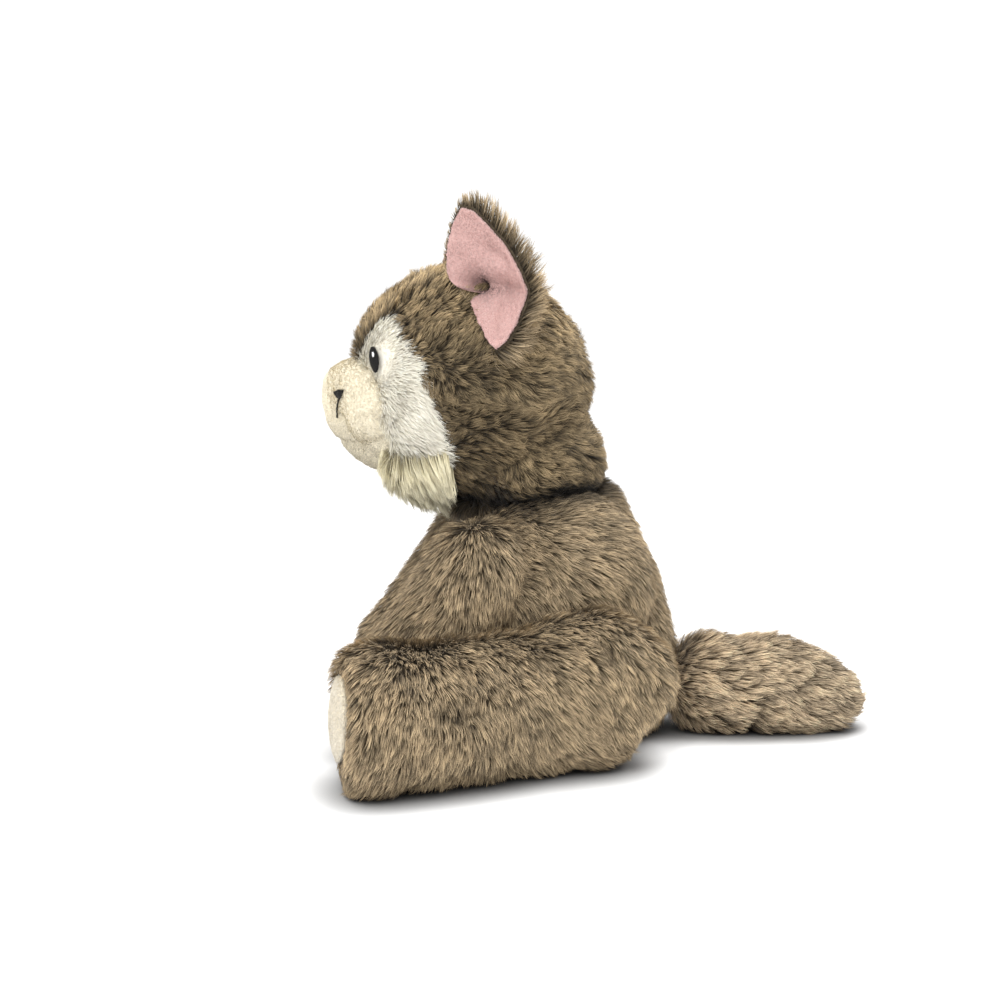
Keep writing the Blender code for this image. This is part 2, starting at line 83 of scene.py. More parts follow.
FUR = {
    "length": 9.5 * MM,
    "width": 0.32 * MM,
    "density": 2.5,
    "root_lift": 50,
    "tip_lift": 9,
    "stray": 9,
    "swirl": 12,
    "clump": 0.64,
    "clump_size": 12,
    "curl": 0.35 * MM,
    "mottle": (0.36, 0.22),
    "fade": (0.05, 1.05),
    "gravity": 0.0,
    "colours": BROWN,
    "stations": (0.0, 0.35, 0.70, 1.0),
    "taper": (1.0, 1.0, 0.7, 0.0),
}
HEAD_FUR = {
    **FUR,
    "length": 8.5 * MM,
    "stray": 15,
    "swirl": 42,
    "clump": 0.72,
    "clump_size": 22,
    "curl": 1.0 * MM,
    "tip_lift": 18,
    "mottle": (0.36, 0.30),
    "fade": (0.15, 1.05),
    "colours": DARK_BROWN,
    "overhang": 0.75,
}
FACE_FUR = {
    **FUR,
    "length": 7.5 * MM,
    "width": 0.34 * MM,
    "density": 3.6,
    "swirl": 16,
    "clump": 0.25,
    "root_lift": 34,
    "tip_lift": 8,
    "mottle": (0.05, 0.04),
    "fade": (-0.1, 1.0),
    "colours": WHITE,
    "overhang": 0.85,
}
RUFF_FUR = {
    **FACE_FUR,
    "length": 16 * MM,
    "root_lift": 60,
    "tip_lift": 22,
    "clump": 0.8,
    "clump_size": 26,
    "gravity": 0.35,
    "colours": SHADED_RUFF_WHITE,
}
TAIL_FUR = {
    **FUR,
    "length": 10.5 * MM,
    "swirl": 16,
    "clump": 0.66,
    "clump_size": 24,
    "colours": LIT_TAIL_BROWN,
}
SHORT = {
    **FUR,
    "length": 1.5 * MM,
    "width": 0.24 * MM,
    "density": 11.0,
    "root_lift": 55,
    "tip_lift": 24,
    "stray": 22,
    "swirl": 8,
    "clump": 0.25,
    "clump_size": 12,
    "curl": 0.0,
    "mottle": (0.07, 0.03),
    "fade": (-0.1, 1.0),
    "colours": CREAM,
    "stations": (0.0, 0.6, 1.0),
    "taper": (1.0, 0.8, 0.0),
}
MUZZLE_PILE = {**SHORT, "width": 0.26 * MM, "density": 9.5}
SOLE_PILE = {**SHORT, "colours": SOLE_CREAM, "length": 1.7 * MM}
EAR_PILE = {**SHORT, "colours": PINK, "length": 1.2 * MM, "density": 13.0}
EAR_BACK_FUR = {**FUR, "length": 10.5 * MM, "tip_lift": 16}

# ---------------------------------------------------------------- small tools


def unit(vectors):
    """Vectors of length one; a vector of no length stays as it is."""
    length = np.linalg.norm(vectors, axis=-1, keepdims=True)
    return vectors / np.maximum(length, 1e-12)


def smooth_step(value, low, high):
    """Rises smoothly from 0 at low to 1 at high."""
    t = np.clip((value - low) / (high - low), 0, 1)
    return t * t * (3 - 2 * t)


def bell(distance, width):
    """One at no distance, fading away over about this width."""
    return np.exp(-((distance / width) ** 2))


def read(collection, name, width, kind=np.float32):
    """One attribute of every item of a mesh, as an array with this many columns."""
    values = np.zeros(len(collection) * width, kind)
    collection.foreach_get(name, values)
    return values.reshape(-1, width).astype(float if kind == np.float32 else int)


def node_points(*names):
    """The vertices of CAD nodes."""
    return np.concatenate([read(frame["nodes"][name].data.vertices, "co", 3) for name in names])


def middle(*names):
    """The middle of the box round CAD nodes."""
    points = node_points(*names)
    return (points.min(0) + points.max(0)) / 2


def ripple(points, wavelength, seed, waves=7):
    """A smooth wavy number between about -1 and 1 at each point."""
    rng = np.random.default_rng(seed)
    total = np.zeros(len(points))
    for direction in unit(rng.normal(size=(waves, 3))):
        pace = 2 * math.pi / (wavelength * rng.uniform(0.6, 1.6))
        total += np.sin(points @ direction * pace + rng.uniform(0, 2 * math.pi))
    return total / math.sqrt(waves)


# ---------------------------------------------------------------- materials


def new_material(name):
    """A material with its nodes, its links and its Principled shader."""
    material = bpy.data.materials.new(name)
    material.use_nodes = True
    nodes = material.node_tree.nodes
    return material, nodes, material.node_tree.links, nodes["Principled BSDF"]


def noise_colour(nodes, links, scale, low, high):
    """A noise and the ramp that turns it into a colour between low and high."""
    noise = nodes.new("ShaderNodeTexNoise")
    noise.inputs["Scale"].default_value = scale
    noise.inputs["Detail"].default_value = 5
    place = nodes.new("ShaderNodeTexCoord")
    links.new(place.outputs["Object"], noise.inputs["Vector"])
    ramp = nodes.new("ShaderNodeValToRGB")
    ramp.color_ramp.elements[0].position = 0.3
    ramp.color_ramp.elements[0].color = (*low, 1)
    ramp.color_ramp.elements[1].position = 0.7
    ramp.color_ramp.elements[1].color = (*high, 1)
    links.new(noise.outputs["Fac"], ramp.inputs["Fac"])
    return noise, ramp


def pile_material(name, roughness, sheen):
    """Fibres: their tint from root to tip, which on most pieces also carries painted light and shade, with a
    faint mottle over the whole fabric.
    """
    material, nodes, links, shader = new_material(name)
    tint = nodes.new("ShaderNodeAttribute")
    tint.attribute_name = "tint"
    _, mottle = noise_colour(nodes, links, 90, (0.84, 0.83, 0.82), (1.0, 1.0, 1.0))
    mix = nodes.new("ShaderNodeMix")
    mix.data_type = "RGBA"
    mix.blend_type = "MULTIPLY"
    mix.inputs["Factor"].default_value = 1.0
    links.new(tint.outputs["Color"], mix.inputs["A"])
    links.new(mottle.outputs["Color"], mix.inputs["B"])
    links.new(mix.outputs["Result"], shader.inputs["Base Color"])
    shader.inputs["Roughness"].default_value = roughness
    shader.inputs["Specular IOR Level"].default_value = 0.25
    shader.inputs["Sheen Weight"].default_value = sheen
    shader.inputs["Sheen Roughness"].default_value = 0.45
    return material


def cloth_material(name, low, high, scale=900, bump=0.35, roughness=0.9):
    """Knitted backing cloth: two tones and a fine bump."""
    material, nodes, links, shader = new_material(name)
    noise, ramp = noise_colour(nodes, links, scale, low, high)
    links.new(ramp.outputs["Color"], shader.inputs["Base Color"])
    relief = nodes.new("ShaderNodeBump")
    relief.inputs["Strength"].default_value = bump
    relief.inputs["Distance"].default_value = 0.4 * MM
    links.new(noise.outputs["Fac"], relief.inputs["Height"])
    links.new(relief.outputs["Normal"], shader.inputs["Normal"])
    shader.inputs["Roughness"].default_value = roughness
    shader.inputs["Specular IOR Level"].default_value = 0.2
    return material


THREAD_SCALE = 2500
THREAD_BUMP = 0.2

MATERIALS = {
    "fur": pile_material("faux_fur", 0.62, 0.10),
    "short": pile_material("short_pile", 0.80, 0.25),
    "brown_backing": cloth_material("brown_backing", (0.045, 0.034, 0.022), (0.08, 0.062, 0.040)),
    "white_backing": cloth_material("white_backing", (0.84, 0.80, 0.70), (0.92, 0.88, 0.79)),
    "cream_cloth": cloth_material("cream_cloth", (0.70, 0.63, 0.48), (0.78, 0.72, 0.58)),
    "sole_cloth": cloth_material("sole_cloth", (0.76, 0.68, 0.52), (0.86, 0.79, 0.65)),
    "pink_cloth": cloth_material("pink_cloth", (0.44, 0.26, 0.24), (0.56, 0.36, 0.33)),
    "black_thread": cloth_material(
        "black_thread", (0.002, 0.002, 0.002), (0.009, 0.008, 0.007), THREAD_SCALE, THREAD_BUMP, 0.6
    ),
    "white_thread": cloth_material(
        "white_thread", (0.80, 0.80, 0.80), (0.95, 0.95, 0.95), THREAD_SCALE, THREAD_BUMP, 0.45
    ),
}

# ---------------------------------------------------------------- skins


class Skin:
    """A closed surface, with the numbers that strands and stitches need."""

    def __init__(self, obj):
        mesh = obj.data
        mesh.calc_loop_triangles()
        self.obj = obj
        self.points = read(mesh.vertices, "co", 3)
        self.normals = read(mesh.vertices, "normal", 3)
        self.triangles = read(mesh.loop_triangles, "vertices", 3, np.int32)
        self.tree = BVHTree.FromPolygons(self.points.tolist(), self.triangles.tolist())

    def depth(self, points):
        """How deep each point lies under the surface; negative outside."""
        depth = np.empty(len(points))
        for i, point in enumerate(points):
            spot, normal, _, _ = self.tree.find_nearest(point)
            depth[i] = (spot - Vector(point)).dot(normal)
        return depth


def main_shell(mesh):
    """Deletes every loose part of a bmesh but the one with the most vertices."""
    unseen = set(mesh.verts)
    shells = []
    while unseen:
        shell = []
        stack = [unseen.pop()]
        while stack:
            vertex = stack.pop()
            shell.append(vertex)
            for edge in vertex.link_edges:
                other = edge.other_vert(vertex)
                if other in unseen:
                    unseen.discard(other)
                    stack.append(other)
        shells.append(shell)
    shells.sort(key=len)
    for shell in shells[:-1]:
        bmesh.ops.delete(mesh, geom=shell, context="VERTS")


# Strength of the shade painted into wrinkles.
FOLD_SHADE = 0.55


class Fold:
    """A wrinkle in a side of the toy, along a line from one (y, z) point to another, in millimetres."""

    def __init__(self, start, end, depth, width):
        self.start, self.end = (np.array(spot) * MM for spot in (start, end))
        self.depth, self.width = depth * MM, width * MM

    def strength(self, points):
        flat = points[:, 1:] - self.start
        line = self.end - self.start
        along = np.clip(flat @ line / (line @ line), 0, 1)
        gap = np.linalg.norm(flat - along[:, None] * line, axis=1)
        return bell(gap, self.width)


def folded(folds, lump=0.9 * MM, seed=7):
    """A shape with soft lumps and these wrinkles."""

    def shape(points, normals):
        push = lump * ripple(points, 34 * MM, seed)
        for fold in folds:
            push = push - fold.depth * fold.strength(points)
        return points + normals * push[:, None]

    return shape


def fold_tone(points, folds):
    """Painted shade: fur is darker down in the wrinkles."""
    tone = np.ones(len(points))
    for fold in folds:
        tone *= 1 - FOLD_SHADE * fold.strength(points)
    return tone


def make_skin(name, body, nodes, material, bulges=(), voxel=2.2 * MM, relax=8, shape=None):
    """One closed stuffed skin round these CAD nodes, which it replaces."""
    shapes = bmesh.new()
    for node in nodes:
        shapes.from_mesh(frame["nodes"][node].data)
    for centre, radii in bulges:
        place = Matrix.Translation(centre) @ Matrix.Diagonal((*radii, 1.0))
        bmesh.ops.create_icosphere(shapes, subdivisions=4, radius=1.0, matrix=place)
    mesh = bpy.data.meshes.new(name)
    shapes.to_mesh(mesh)
    shapes.free()
    obj = bpy.data.objects.new(name, mesh)
    bpy.context.scene.collection.objects.link(obj)
    remesh = obj.modifiers.new("remesh", "REMESH")
    remesh.mode = "VOXEL"
    remesh.voxel_size = voxel
    soften = obj.modifiers.new("soften", "SMOOTH")
    soften.iterations = relax
    soften.factor = 0.5
    result = bpy.data.meshes.new_from_object(obj.evaluated_get(bpy.context.evaluated_depsgraph_get()))
    obj.modifiers.clear()
    shell = bmesh.new()
    shell.from_mesh(result)
    main_shell(shell)
    shell.to_mesh(result)
    shell.free()
    if shape:
        points = read(result.vertices, "co", 3)
        normals = read(result.vertices, "normal", 3)
        points = shape(points, normals)
        result.vertices.foreach_set("co", points.astype(np.float32).ravel())
    result.shade_smooth()
    result.name = name
    obj.data = result
    obj.data.materials.clear()
    obj.data.materials.append(MATERIALS[material])
    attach(obj, body)
    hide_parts(*nodes)
    return Skin(obj)


# ---------------------------------------------------------------- strands

UNDERSIDE_HEIGHT = 8 * MM
UNDERSIDE_THINNING = 0.6
FLOOR_GAP = 0.3 * MM
# Bounds of the light and shade painted into strands.
TONE_LIMITS = (0.03, 1.6)


def strip_mesh(name, paths, sides, widths, tints, material):
    """Flat tapered strands.

    Their shapes: paths (n, stations, 3), sides (n, 3), widths (stations,), tints (n, stations, 3).
    """
    count, stations, _ = paths.shape
    half = sides[:, None, :] * (widths[None, :-1, None] / 2)
    pairs = np.stack([paths[:, :-1] - half, paths[:, :-1] + half], axis=2).reshape(count, -1, 3)
    points = np.concatenate([pairs, paths[:, -1:]], axis=1)
    colours = np.concatenate([np.repeat(tints[:, :-1], 2, axis=1), tints[:, -1:]], axis=1)
    size = points.shape[1]
    corners = []
    for step in range(stations - 2):
        base = 2 * step
        corners += [base, base + 1, base + 3, base + 2]
    corners += [size - 3, size - 2, size - 1]
    totals = [4] * (stations - 2) + [3]
    loops = (np.arange(count)[:, None] * size + np.array(corners)[None]).ravel()
    counts = np.tile(totals, count)
    starts = np.concatenate([[0], np.cumsum(counts)[:-1]])
    mesh = bpy.data.meshes.new(name)
    mesh.vertices.add(count * size)
    mesh.vertices.foreach_set("co", points.astype(np.float32).ravel())
    mesh.loops.add(len(loops))
    mesh.loops.foreach_set("vertex_index", loops.astype(np.int32))
    mesh.polygons.add(len(counts))
    mesh.polygons.foreach_set("loop_start", starts.astype(np.int32))
    mesh.update(calc_edges=True)
    mesh.shade_smooth()
    tint = mesh.attributes.new("tint", "FLOAT_COLOR", "POINT")
    rgba = np.concatenate([colours.reshape(-1, 3), np.ones((count * size, 1))], axis=1)
    tint.data.foreach_set("color", rgba.astype(np.float32).ravel())
    mesh.materials.append(MATERIALS[material])
    obj = bpy.data.objects.new(name, mesh)
    bpy.context.scene.collection.objects.link(obj)
    return obj


def scatter(skin, density, rng):
    """Random roots on a skin, density of them to the square millimetre, with their surface normals."""
    corners = skin.points[skin.triangles]
    area = np.linalg.norm(np.cross(corners[:, 1] - corners[:, 0], corners[:, 2] - corners[:, 0]), axis=1) / 2
    count = int(area.sum() / MM**2 * density)
    pick = rng.choice(len(area), count, p=area / area.sum())
    along = np.sqrt(rng.random(count))
    across = rng.random(count)
    share = np.stack([1 - along, along * (1 - across), along * across], axis=1)
    roots = np.einsum("nk,nkd->nd", share, corners[pick])
    normals = unit(np.einsum("nk,nkd->nd", share, skin.normals[skin.triangles[pick]]))
    return roots, normals


def lay(roots, normals, flow, pile, scale, rng, seed):
    """Paths and side directions of strands that leave the cloth steeply and then lie along the nap."""
    count = len(roots)
    tangent = unit(flow - np.sum(flow * normals, axis=1, keepdims=True) * normals)
    side = np.cross(normals, tangent)
    turn = np.radians(pile["stray"] * rng.normal(size=count) + pile["swirl"] * ripple(roots, 26 * MM, seed))
    tangent = tangent * np.cos(turn)[:, None] + side * np.sin(turn)[:, None]
    side = np.cross(normals, tangent)
    steep = np.radians(pile["root_lift"] + 7 * rng.normal(size=count))[:, None]
    tip_lift = pile["tip_lift"] + 6 * rng.normal(size=count)
    flat = np.radians(tip_lift + 6 * ripple(roots, 12 * MM, seed + 1))[:, None]
    start = tangent * np.cos(steep) + normals * np.sin(steep)
    end = tangent * np.cos(flat) + normals * np.sin(flat)
    end = unit(end - UP * pile["gravity"])
    length = pile["length"] * scale * (1 + 0.14 * rng.normal(size=count)).clip(0.5, 1.5)
    u = np.array(pile["stations"])[None, :, None]
    bend = start[:, None] * (u - u * u / 2) + end[:, None] * (u * u / 2)
    paths = (roots - normals * 0.5 * MM)[:, None] + length[:, None, None] * bend
    phase = rng.uniform(0, 2 * math.pi, count)[:, None, None]
    paths += side[:, None] * np.sin(u * 4 + phase) * u * pile["curl"]
    return paths, side


def gather(paths, roots, pile, rng):
    """Draws strands into locks, each towards the nearest lock's middle strand. Returns each strand's lock."""
    count = len(roots)
    chosen = rng.choice(count, max(1, count // pile["clump_size"]), replace=False)
    tree = KDTree(len(chosen))
    for i, index in enumerate(chosen):
        tree.insert(roots[index], i)
    tree.balance()
    lock = np.array([tree.find(root)[1] for root in roots])
    u = np.array(pile["stations"])[None, :, None]
    pull = (pile["clump"] * rng.uniform(0.5, 1.1, count))[:, None, None] * u**1.4
    paths += (paths[chosen][lock] - paths) * pull
    return lock


def paint(pile, roots, lock, rng, seed):
    """Root to tip colours, lighter and darker by strand, by lock and in soft patches."""
    root, tip = (np.array(colour) for colour in pile["colours"])
    u = np.array(pile["stations"])
    by_strand, by_lock = pile["mottle"]
    tone = 1 + by_strand * rng.normal(size=len(roots)) + 0.6 * by_lock * ripple(roots, 18 * MM, seed + 2)
    tone += by_lock * rng.normal(size=lock.max() + 1)[lock]
    tone = tone.clip(0.4, 1.8)
    blend = smooth_step(u, *pile["fade"])
    colours = root[None] * (1 - blend[:, None]) + tip[None] * blend[:, None]
    return (tone[:, None, None] * colours[None]).clip(0, 0.97)


def raised(roots, pile):
    """Where a panel's edge is looked up, for pile whose upper edge doesn't follow its seam."""
    if "raise" not in pile:
        return 0.0
    edge = pile["raise"]
    share = smooth_step(roots[:, 2], edge["low"], edge["high"])[:, None]
    behind = smooth_step((muzzle_middle - roots) @ head_forward, 9 * MM, 23 * MM)[:, None]
    outward = np.sign((roots - muzzle_middle) @ head_left)[:, None] * head_left
    rise = edge["front_rise"] + (edge["back_rise"] - edge["front_rise"]) * behind
    return (UP * rise + outward * edge["aside"]) * share


def owners_at(panels, roots, normals, flow, pile):
    """The panel whose pile a root carries: the one that its strand's tip reaches."""
    tree, owners = panels
    nap = flow(roots, normals)
    nap = unit(nap - np.sum(nap * normals, axis=1, keepdims=True) * normals)
    reach = roots + nap * pile["length"] * pile.get("overhang", 0.0) + raised(roots, pile)
    return np.array([owners[tree.find_nearest(point)[2]] for point in reach])


def grow(
    name, body, skin, pile, flow, seed, material="fur", panels=None, replaced=(),
    avoid=(), length_at=None, keep_at=None, tone_at=None, bury=2.5 * MM,
):
    """Covers part of a skin with pile, as one piece that rides on a body.

    Pile is left out where the root lies deeper than bury in one of the skins in avoid.
    """
    rng = np.random.default_rng(seed)
    roots, normals = scatter(skin, pile["density"], rng)
    keep = np.ones(len(roots), bool)
    if panels is not None:
        keep &= np.isin(owners_at(panels, roots, normals, flow, pile), list(replaced))
    underneath = (normals[:, 2] < -0.75) & (roots[:, 2] < UNDERSIDE_HEIGHT)
    keep &= ~(underneath & (rng.random(len(roots)) < UNDERSIDE_THINNING))
    if keep_at:
        keep &= keep_at(roots)
    roots, normals = roots[keep], normals[keep]
    for other in avoid:
        outside = other.depth(roots) < bury
        roots, normals = roots[outside], normals[outside]
    scale = np.ones(len(roots)) if length_at is None else length_at(roots)
    paths, side = lay(roots, normals, flow(roots, normals), pile, scale, rng, seed)
    lock = gather(paths, roots, pile, rng)
    paths[..., 2] = np.maximum(paths[..., 2], FLOOR_GAP)
    roll = rng.uniform(-0.9, 0.9, len(roots))[:, None]
    sides = unit(side * np.cos(roll) + normals * np.sin(roll))
    tints = paint(pile, roots, lock, rng, seed)
    # Painted light and shade: tone_at darkens strands in creases and hollows and lightens them where light
    # falls.
    if tone_at:
        tints = tints * tone_at(roots)[:, None, None].clip(*TONE_LIMITS)
    widths = pile["width"] * np.array(pile["taper"])
    obj = strip_mesh(name, paths, sides, widths, tints, material)
    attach(obj, body)
    if replaced:
        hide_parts(*replaced)


def panel_tree(names):
    """One search tree over several CAD panels, and the panel that each of its faces belongs to."""
    points, faces, owners = [], [], []
    for name in names:
        mesh = frame["nodes"][name].data
        first = len(points)
        points += [vertex.co.copy() for vertex in mesh.vertices]
        faces += [[first + i for i in polygon.vertices] for polygon in mesh.polygons]
        owners += [name] * len(mesh.polygons)
    return BVHTree.FromPolygons(points, faces), owners


# ---------------------------------------------------------------- torso, neck, limbs and tail

TORSO_PANELS = ["torso_left", "torso_right", "torso_belly", "torso_base"]
neck_ball = np.array(JOINTS["neck_turn"]["pos_m"])


def shoulder_at(side):
    """The middle of the arm's joint."""
    return np.array(JOINTS[f"arm_{side}_swing"]["pos_m"])


torso = make_skin(
    "torso_skin", "torso", [*TORSO_PANELS, "torso_filling", "pellet_pouch"], "brown_backing",
    bulges=[
        (neck_ball + [0, 6 * MM, -3 * MM], (34 * MM, 32 * MM, 12 * MM)),
        *[
            (shoulder_at(side) + [out * -19 * MM, 34 * MM, -10 * MM], (31 * MM, 46 * MM, 44 * MM))
            for side, out in SIDES.items()
        ],
    ],
    shape=folded([]),
)
make_skin("neck_skin", "neck", ["neck_filling"], "brown_backing", voxel=1.5 * MM)


def arm_bulges(side):
    """Stuffing that carries the arm's skin on into the torso's."""
    return [(shoulder_at(side) - [SIDES[side] * 12 * MM, 0, 0], (26 * MM, 20 * MM, 20 * MM))]


def leg_bulges(side):
    """Stuffing of the hip and the thigh."""
    hip = np.array(JOINTS[f"leg_{side}_swing"]["pos_m"])
    return [
        (hip - [SIDES[side] * 12 * MM, 0, 0], (28 * MM, 26 * MM, 26 * MM)),
        (hip + [0, -6 * MM, 5 * MM], (22 * MM, 42 * MM, 31 * MM)),
    ]


LEG_FOLDS = [Fold((-68, 38), (-56, 42), 2.0, 2.6), Fold((-6, 65), (1, 58), 2.2, 2.6)]
TAIL_FOLDS = [Fold((76, 4), (80, 22), 2.2, 2.8), Fold((96, 25), (106, 33), 2.0, 2.8)]


def leg_trim(side):
    """The back of the hip is cut away a little towards the floor."""
    hip = np.array(JOINTS[f"leg_{side}_swing"]["pos_m"])

    def shape(points, normals):
        points = folded(LEG_FOLDS, seed=9)(points, normals)
        back = smooth_step(points[:, 1], hip[1], hip[1] + 32 * MM)
        low = 1 - smooth_step(points[:, 2], 5 * MM, 40 * MM)
        points[:, 1] -= back * (3.5 * MM + 6 * MM * low)
        points[:, 2] += back * low * 3 * MM
        return points

    return shape


arms = {}
legs = {}
for side in SIDES:
    arms[side] = make_skin(
        f"arm_{side}_skin", f"arm_{side}", [f"arm_{side}_outer", f"arm_{side}_inner", f"arm_{side}_filling"],
        "brown_backing", bulges=arm_bulges(side),
    )
    legs[side] = make_skin(
        f"leg_{side}_skin", f"leg_{side}", [f"leg_{side}_outer", f"leg_{side}_inner", f"leg_{side}_filling"],
        "brown_backing", bulges=leg_bulges(side), shape=leg_trim(side),
    )
tail_root = np.array(JOINTS["tail_wag"]["pos_m"])
tail = make_skin(
    "tail_skin", "tail", ["tail_left", "tail_right", "tail_filling"], "brown_backing",
    bulges=[(tail_root + [0, -1 * MM, 1 * MM], (20 * MM, 24 * MM, 22 * MM))],
    shape=folded(TAIL_FOLDS, seed=11),
)

WHITE_PANELS = ["face_patch_left", "face_patch_right", "chin_ruff", "muzzle_left", "muzzle_right"]
HEAD_PANELS = [
    "crown_gusset", "head_side_left", "head_side_right", "face_patch_left", "face_patch_right", "chin_ruff",
]
HEAD_FILLING = middle("head_filling")
nape = HEAD_FILLING + np.array([0, 28, -41]) * MM
head = make_skin(
    "head_skin", "head", [*HEAD_PANELS, "head_filling"], "brown_backing",
    bulges=[(nape, (42 * MM, 36 * MM, 31 * MM)), (nape + [0, -9 * MM, 21 * MM], (40 * MM, 36 * MM, 31 * MM))],
    shape=folded([], lump=1.1 * MM, seed=13),
)
head_tree = panel_tree([*HEAD_PANELS, "muzzle_left", "muzzle_right"])

# ---------------------------------------------------------------- the head's own directions

head_left = unit(np.array(JOINTS["neck_nod"]["axis"]))
head_level = np.cross(head_left, UP)
HEAD_TILT = math.radians(18)
head_forward = head_level * math.cos(HEAD_TILT) - UP * math.sin(HEAD_TILT)
head_up = head_level * math.sin(HEAD_TILT) + UP * math.cos(HEAD_TILT)
if np.dot(head_forward, middle("nose") - middle("head_filling")) < 0:
    head_forward = -head_forward
muzzle_middle = middle("muzzle_left", "muzzle_right")

# ---------------------------------------------------------------- naps: which way the fur lies


def torso_flow(points, normals):
    """Back over the shoulders, steeper further down, and straight down the belly."""
    height = smooth_step(points[:, 2], 55 * MM, 128 * MM)
    fall = np.radians(68 - 60 * height)
    back = np.stack([np.zeros(len(points)), np.cos(fall), -np.sin(fall)], axis=1)
    front = smooth_step(-normals[:, 1], 0.2, 0.8)[:, None]
    return back * (1 - front) + np.array([0, -0.1, -1.0]) * front


def arm_flow(side):
    """Away from a whorl on the shoulder, drawn forward and down."""
    whorl = shoulder_at(side) + [0, -5 * MM, 13 * MM]

    def flow(points, normals):
        away = points - whorl
        return unit(away) + np.array([0, -0.25, -0.5])

    return flow


def leg_flow(side):
    """Down the sides, forward at the foot and back at the hip, and outward over the top."""
    out = SIDES[side]

    def flow(points, normals):
        slope = -0.55 + 1.45 * smooth_step(points[:, 1], -120 * MM, 10 * MM)
        top = smooth_step(normals[:, 2], 0.25, 0.85)[:, None]
        back = -0.40 + 1.20 * smooth_step(points[:, 1], -112 * MM, -45 * MM)
        down = np.stack([0.15 * out + 0 * slope, slope, -1.0 + 0 * slope], axis=1)
        over = np.stack([0.75 * out + 0 * slope, back, -0.3 + 0 * slope], axis=1)
        return down * (1 - top) + over * top

    return flow


def tail_flow(points, normals):
    """Towards the tail's end."""
    return np.tile([0.0, 1.0, -0.12], (len(points), 1))


def head_flow(points, normals):
    """Away from the muzzle, drawn back and down."""
    away = unit(points - muzzle_middle)
    return away + np.array([0, 0.25, -0.25])


def face_flow(points, normals):
    """Away from the muzzle, drawn down."""
    away = unit(points - muzzle_middle)
    return away + np.array([0, 0.15, -0.45])


def ruff_flow(points, normals):
    """Down and a little back."""
    return unit(points - muzzle_middle) * 0.3 + np.array([0, 0.25, -1.0])


# ---------------------------------------------------------------- fur


def sole_trim(side):
    """The long pile is clipped short beside the sole."""
    tree, _ = panel_tree([f"leg_{side}_sole"])

    def scale(points):
        gap = np.array([tree.find_nearest(point)[3] for point in points])
        return 0.18 + 0.82 * smooth_step(gap, 1 * MM, 10 * MM)

    return scale


def crease(others, reach=11 * MM, low=0.30, start=-2 * MM):
    """Fur in the crease against other stuffed pieces lies in their shade."""

    def tone(points):
        gap = -np.max([other.depth(points) for other in others], axis=0)
        return low + (1 - low) * smooth_step(gap, start, reach)

    return tone


def leg_tone(side):
    """Painted shade in the wrinkles and under the arm, but not on top of the foot, which gets painted light.
    """
    shade = crease([arms[side]], reach=8 * MM, low=0.10)

    def tone(points):
        dark = (1 - shade(points)) * smooth_step(points[:, 1], -102 * MM, -84 * MM)
        lit_foot_top = smooth_step(points[:, 2], 46 * MM, 66 * MM) * smooth_step(-points[:, 1], 96 * MM, 108 * MM)
        return (1 - dark) * (1 + 0.20 * lit_foot_top) * fold_tone(points, LEG_FOLDS)

    return tone


def torso_tone(points):
    """Painted shade: dark at the neck, and in front where the thighs press against it."""
    thighs = crease([legs["left"], legs["right"]], reach=14 * MM, low=0.15)
    dark = (1 - thighs(points)) * (1 - smooth_step(points[:, 1], -12 * MM, 4 * MM))
    return 0.90 * (1 - dark) * crease([head], reach=15 * MM, low=0.03)(points)


torso_tree = panel_tree(TORSO_PANELS)
limb_skins = [arms["left"], arms["right"], legs["left"], legs["right"], tail]
for index, panel in enumerate(TORSO_PANELS):
    grow(f"{panel}_fur", "torso", torso, FUR, torso_flow, 100 + index, panels=torso_tree, replaced=[panel],
         avoid=[*limb_skins, head], bury=8 * MM, tone_at=torso_tone)

for number, side in enumerate(SIDES):
    arm_tree = panel_tree([f"arm_{side}_outer", f"arm_{side}_inner"])
    leg_tree = panel_tree([f"leg_{side}_outer", f"leg_{side}_inner", f"leg_{side}_sole"])
    for face, name in enumerate(["outer", "inner"]):
        seed = 200 + 10 * number + face
        grow(f"arm_{side}_{name}_fur", f"arm_{side}", arms[side], FUR, arm_flow(side), seed,
             panels=arm_tree, replaced=[f"arm_{side}_{name}"], avoid=[torso], bury=14 * MM,
             tone_at=crease([legs[side]], reach=15 * MM, low=0.35, start=2 * MM))
        grow(f"leg_{side}_{name}_fur", f"leg_{side}", legs[side], FUR, leg_flow(side), seed + 5,
             panels=leg_tree, replaced=[f"leg_{side}_{name}"], avoid=[torso], bury=10 * MM,
             length_at=sole_trim(side), tone_at=leg_tone(side))


def tail_tone(points):
    """Painted light near the body, darker towards its end, and painted shade in its wrinkles."""
    return (1.10 - 0.27 * smooth_step(points[:, 1], 75 * MM, 125 * MM)) * fold_tone(points, TAIL_FOLDS)


tail_tree = panel_tree(["tail_left", "tail_right"])
for index, panel in enumerate(["tail_left", "tail_right"]):
    grow(f"{panel}_fur", "tail", tail, TAIL_FUR, tail_flow, 300 + index, panels=tail_tree, replaced=[panel],
         avoid=[torso], bury=8 * MM, tone_at=tail_tone)

# ---------------------------------------------------------------- head fur

EYES = {side: middle(f"eye_{side}") for side in SIDES}


def near_eye(points):
    """Distance of each point to the nearest eye."""
    return np.minimum(*[np.linalg.norm(points - EYES[side], axis=1) for side in SIDES])


def face_length(points):
    """Short beside the eyes."""
    return 0.28 + 0.72 * smooth_step(near_eye(points), 5 * MM, 15 * MM)


def off_eye(points):
    """No pile grows under the eyes' embroidery."""
    return near_eye(points) > 4.2 * MM


eye_height = EYES["left"][2]
FACE_TOP = {
    "low": eye_height - 4 * MM,
    "high": eye_height + 8 * MM,
    "front_rise": 5 * MM,
    "back_rise": 7.5 * MM,
    "aside": 1.5 * MM,
}
neck_shade = crease([torso], reach=17 * MM, low=0.03, start=4 * MM)


